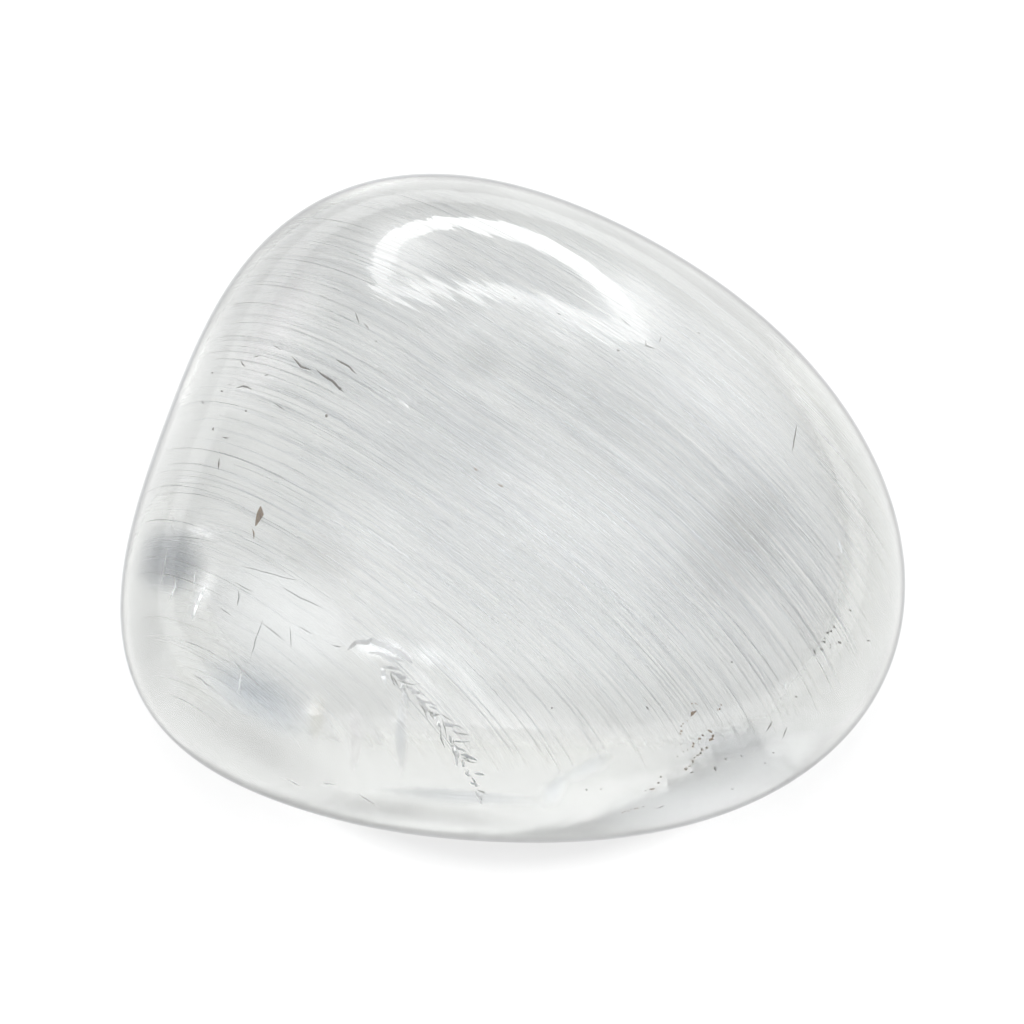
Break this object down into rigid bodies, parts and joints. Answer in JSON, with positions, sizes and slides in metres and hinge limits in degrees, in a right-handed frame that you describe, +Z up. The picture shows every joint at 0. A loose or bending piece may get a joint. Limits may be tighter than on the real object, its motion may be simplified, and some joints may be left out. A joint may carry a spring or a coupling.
{
  "type": "tumbled selenite stone",
  "caption": "Rounded, polished pebble of clear fibrous selenite, about 38 mm long, resting on a worn flat on its underside.",
  "frame": {"origin": "on the plane of the resting face, under the middle of the pebble's bounding box", "axes": "+X along the pebble's length, +Z up away from the resting face, -Y towards a viewer who looks down on it"},
  "size_m": [0.0374, 0.034, 0.0228],
  "materials": {
    "clear_selenite": "polished",
    "silky_fibre": "satin",
    "iron_stain": "matte"
  },
  "bodies": {
    "root": {"selenite_pebble": "clear_selenite"}
  },
  "joints": []
}
